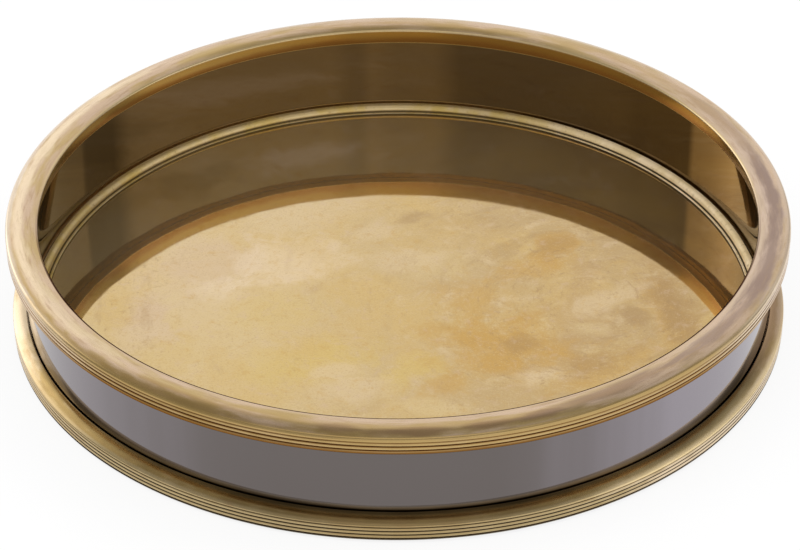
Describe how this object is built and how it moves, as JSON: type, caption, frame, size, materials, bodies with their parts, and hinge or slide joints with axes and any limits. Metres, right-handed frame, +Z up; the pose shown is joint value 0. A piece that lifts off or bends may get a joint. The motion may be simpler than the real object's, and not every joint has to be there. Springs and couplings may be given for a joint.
{
  "type": "round serving tray",
  "caption": "Deep round serving tray with a polished wall between reeded brass rings, a patinated brass floor with a bead round its edge, and felt pads underneath.",
  "frame": {"origin": "on the tray's axis, at the underside of the felt pads", "axes": "+Z up along the tray's axis, out of its open top"},
  "size_m": [0.45, 0.45, 0.0687],
  "materials": {
    "rim_brass": "satin aged brass with pinkish tarnish and brown spots",
    "base_brass": "satin aged brass, darker between the reeds",
    "bead_brass": "satin aged brass",
    "floor_brass": "semi-gloss lacquered brass with a mottled patina",
    "dark_nickel": "polished dark nickel, mirror-like",
    "board_black": "matt black painted hardboard",
    "screw_steel": "plain steel",
    "felt_dark": "dense felt"
  },
  "bodies": {
    "root": {"top_rim": "rim_brass", "wall_band": "dark_nickel", "base_ring": "base_brass", "inner_bead": "bead_brass", "floor_plate": "floor_brass", "stiffener_board": "board_black", "screw_1": "screw_steel", "screw_2": "screw_steel", "screw_3": "screw_steel", "screw_4": "screw_steel", "screw_5": "screw_steel", "screw_6": "screw_steel", "screw_7": "screw_steel", "screw_8": "screw_steel", "felt_pad_1": "felt_dark", "felt_pad_2": "felt_dark", "felt_pad_3": "felt_dark", "felt_pad_4": "felt_dark", "felt_pad_5": "felt_dark", "felt_pad_6": "felt_dark"}
  },
  "joints": []
}
